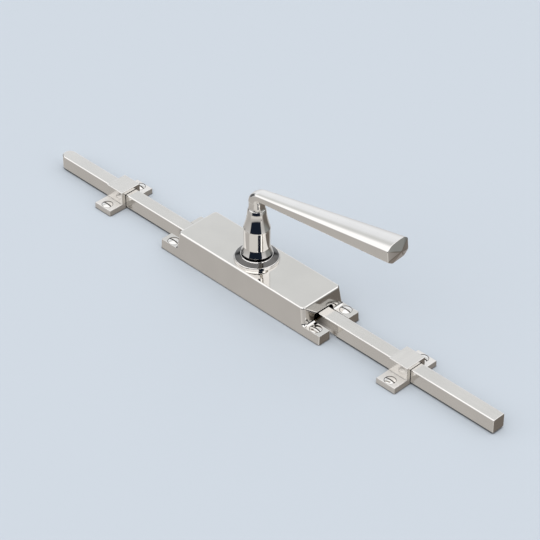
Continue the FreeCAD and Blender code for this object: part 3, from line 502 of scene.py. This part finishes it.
RECESS, HOLLOW_INNER, HOLLOW_OUTER = 10.92, 11.8, 15.7
ROSE = [
    (8.55, CASE_TOP),
    (16.3, CASE_TOP),
    (16.1, CASE_TOP + 2.05, 0.45),
    *bow((15.6, CASE_TOP + 2.2), (11.85, CASE_TOP + 4.0), 0.12),
    (11.85, CASE_TOP + 4.0),
    (11.6, CASE_TOP + 4.5, 0.25),
    (10.95, CASE_TOP + 4.5, 0.2),
    (10.9, CASE_TOP + 2.9),
    (8.55, CASE_TOP + 2.9),
]


# Look 1 paints the recess black as shade; look 2 paints the hollow dark as shade
def rose_look(radius, height):
    if radius < RECESS:
        return 1
    return 2 if HOLLOW_INNER < radius < HOLLOW_OUTER and height > CASE_TOP + 1.0 else 0


rose = turned("rose_form", ROSE, (nickel_bright, black_and_shade, nickel_shaded), rose_look)
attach(rose, "housing")
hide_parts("rose")



# Shank: a flared foot, a barrel, a bead at the shoulder, a hollow taper and a rounded top

SHANK = [
    (0, SHANK_LOW),
    (8.5, SHANK_LOW),
    (8.5, SHANK_FOOT),
    (11.15, SHANK_FOOT, 0.15),
    (11.15, SHANK_FOOT + 0.25, 0.1),
    *bow((11.05, SHANK_FOOT + 0.45), (9.45, SHANK_FOOT + 5.2), 0.12),
    (9.45, SHANK_FOOT + 5.2),
    (9.45, SHOULDER - 1.0),
    (9.62, SHOULDER - 0.4, 0.3),
    (9.62, SHOULDER + 0.3, 0.3),
    *bow((9.4, SHOULDER + 0.8), (6.95, SHOULDER + 11.8), 0.27),
    (6.95, SHOULDER + 11.8),
    (6.85, SHANK_TOP - 2.6, 0.5),
    (6.45, SHANK_TOP - 0.9, 0.6),
    (6.1, SHANK_TOP, 0.3),
    (0, SHANK_TOP),
]
PIN_HOLE, GRUB_HOLE = (57.0, 1.52), (37.0, 2.52)


# The foot's underside and its journal are painted black as shade
def shank_look(_, height):
    return int(height < SHANK_FOOT + 0.01)


shank = turned("shank_form", SHANK, (nickel_bright, black_and_shade), shank_look, (PIN_HOLE, GRUB_HOLE), closed=False)
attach(shank, "handle")
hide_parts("shank")


# Floor: matt paper with a thin painted contact shadow

FLOOR, CONTACT = (0.531, 0.571, 0.611), (0.16, 0.165, 0.17)
FLOOR_HALF, FLOOR_LEVEL = 6.0, -0.0002


def make_floor():
    mesh = bpy.data.meshes.new("floor")
    corners = [(-1, -1), (1, -1), (1, 1), (-1, 1)]
    mesh.from_pydata([(x * FLOOR_HALF, y * FLOOR_HALF, FLOOR_LEVEL) for x, y in corners], [], [(0, 1, 2, 3)])
    floor = bpy.data.objects.new("floor", mesh)
    scene.collection.objects.link(floor)
    floor.visible_glossy = False
    material = bpy.data.materials.new("floor_paper")
    material.use_nodes = True
    tree = material.node_tree
    shader = tree.nodes["Principled BSDF"]
    shader.inputs["Roughness"].default_value = 0.9
    shader.inputs["Specular IOR Level"].default_value = 0.0
    # Painted contact shadow: the paper darkens where the object hems it in
    open_floor = smooth(tree, occlusion(tree, 16, 0.0016), 0.5, 0.95)
    link(tree, mix(tree, open_floor, CONTACT, FLOOR), shader.inputs["Base Color"])
    mesh.materials.append(material)


make_floor()


# Camera, fitted to the photo's lines

AZIMUTH, ELEVATION, ROLL = (math.radians(angle) for angle in (44.7329, 37.3705, 0.3504))
DISTANCE, SHIFT_X, SHIFT_Y = 1.582983, -0.0084021, -0.0089678
LENS, SENSOR = 149.163, 36
toward = Vector((math.sin(AZIMUTH), -math.cos(AZIMUTH)))
back = Vector((*(toward * math.cos(ELEVATION)), math.sin(ELEVATION)))


def make_camera():
    level = Vector((math.cos(AZIMUTH), math.sin(AZIMUTH), 0))
    upward = back.cross(level)
    right = math.cos(ROLL) * level + math.sin(ROLL) * upward
    up = math.cos(ROLL) * upward - math.sin(ROLL) * level
    camera = bpy.data.objects.new("camera", bpy.data.cameras.new("camera"))
    scene.collection.objects.link(camera)
    camera.data.lens = LENS
    camera.data.sensor_width = SENSOR
    camera.data.clip_start = 0.05
    camera.data.clip_end = 30
    place = Matrix.Translation(back * DISTANCE - right * SHIFT_X - up * SHIFT_Y)
    camera.matrix_world = place @ Matrix((right, up, back)).transposed().to_4x4()
    scene.camera = camera


make_camera()


# Soft studio. Angles are in degrees: sideways from the camera's side, and by height over the horizon

world = bpy.data.worlds.new("studio")
scene.world = world
world.use_nodes = True
tree = world.node_tree
split = tree.nodes.new("ShaderNodeSeparateXYZ")
link(tree, tree.nodes.new("ShaderNodeTexCoord").outputs["Generated"], split.inputs[0])


def along(direction):
    """The view direction's share along a level direction."""
    first = math_node(tree, "MULTIPLY", split.outputs[0], direction[0])
    second = math_node(tree, "MULTIPLY", split.outputs[1], direction[1])
    return math_node(tree, "ADD", first, second)


sideways = math_node(tree, "ARCTAN2", along((-toward.y, toward.x)), along(toward))
height = math_node(tree, "ARCSINE", split.outputs[2])


def band(value, low, high, soft):
    """One between two limits, falling softly to zero outside them."""
    low, high, soft = (math.radians(angle) for angle in (low, high, soft))
    rise = smooth(tree, value, low - soft, low + soft)
    fall = smooth(tree, value, high - soft, high + soft, 1.0, 0.0)
    return math_node(tree, "MULTIPLY", rise, fall)


def patch(across, tall, soft=2.0):
    return math_node(tree, "MULTIPLY", band(sideways, *across, soft), band(height, *tall, soft))


def by_height(stops):
    """Colours by height."""
    node = tree.nodes.new("ShaderNodeValToRGB")
    link(tree, smooth(tree, height, -math.pi / 2, math.pi / 2, kind="LINEAR"), node.inputs[0])
    ramp = node.color_ramp
    while len(ramp.elements) < len(stops):
        ramp.elements.new(0.5)
    for element, (angle, colour) in zip(ramp.elements, stops):
        element.position = (angle + 90) / 180
        element.color = (*colour, 1)
    return node.outputs[0]


BRIGHT, TOP = (1.38, 1.40, 1.44), (1.2, 1.22, 1.25)
near_sky = by_height(
    [
        (-70, (0.62, 0.605, 0.59)),
        (-37, (0.56, 0.545, 0.53)),
        (-22, (0.52, 0.505, 0.495)),
        (-8, (0.62, 0.62, 0.62)),
        (8, (0.80, 0.81, 0.83)),
        (20, BRIGHT),
        (60, BRIGHT),
        (90, TOP),
    ]
)
end_sky = by_height(
    [
        (-60, (0.34, 0.31, 0.29)),
        (-40, (0.19, 0.168, 0.15)),
        (-20, (0.17, 0.155, 0.14)),
        (-12, (0.30, 0.315, 0.31)),
        (23, (0.32, 0.325, 0.32)),
        (31, BRIGHT),
        (60, BRIGHT),
        (90, TOP),
    ]
)
back_sky = by_height(
    [
        (-40, (0.55, 0.54, 0.53)),
        (-18, (0.70, 0.71, 0.73)),
        (8, (0.95, 0.98, 1.02)),
        (16, (1.04, 1.08, 1.14)),
        (20, (1.08, 1.12, 1.18)),
        (29, (1.02, 1.06, 1.12)),
        (37, (0.80, 0.825, 0.84)),
        (42, (0.84, 0.86, 0.88)),
        (50, BRIGHT),
    ]
)
END_SIDE, FAR_SIDE = (58, 76), (122, 150)

DARK = (0.012, 0.018, 0.032)
GREY = (0.12, 0.125, 0.135)
PATCHES = [
    # The lit table in front, the soft box over the camera, dark gaps on both far sides of the room
    ((-68, 60), (-75, -24), 8.0, (0.80, 0.79, 0.77)),
    ((-62, 60), (30, 62), 6.0, (2.0, 2.03, 2.08)),
    ((-154, -106), (-14, 24), 5.0, GREY),
    ((106, 154), (-14, 24), 5.0, GREY),
    # The dark room behind the camera, and a dark stand right of it
    ((-54, 36), (-17.5, 23), 1.5, DARK),
    ((9, 34), (-62, -34), 2.0, DARK),
    ((9, 34), (10, 56), 2.0, DARK),
]


def edge_of(value, limits):
    return smooth(tree, value, *(math.radians(angle) for angle in limits))


shade = mix(tree, edge_of(sideways, END_SIDE), near_sky, end_sky)
shade = mix(tree, edge_of(math_node(tree, "ABSOLUTE", sideways), FAR_SIDE), shade, back_sky)
for across, tall, soft, colour in PATCHES:
    shade = mix(tree, patch(across, tall, soft), shade, colour)
background = tree.nodes["Background"]
link(tree, shade, background.inputs["Color"])
background.inputs["Strength"].default_value = 1.0

scene.view_settings.view_transform = "Standard"
scene.view_settings.look = "None"
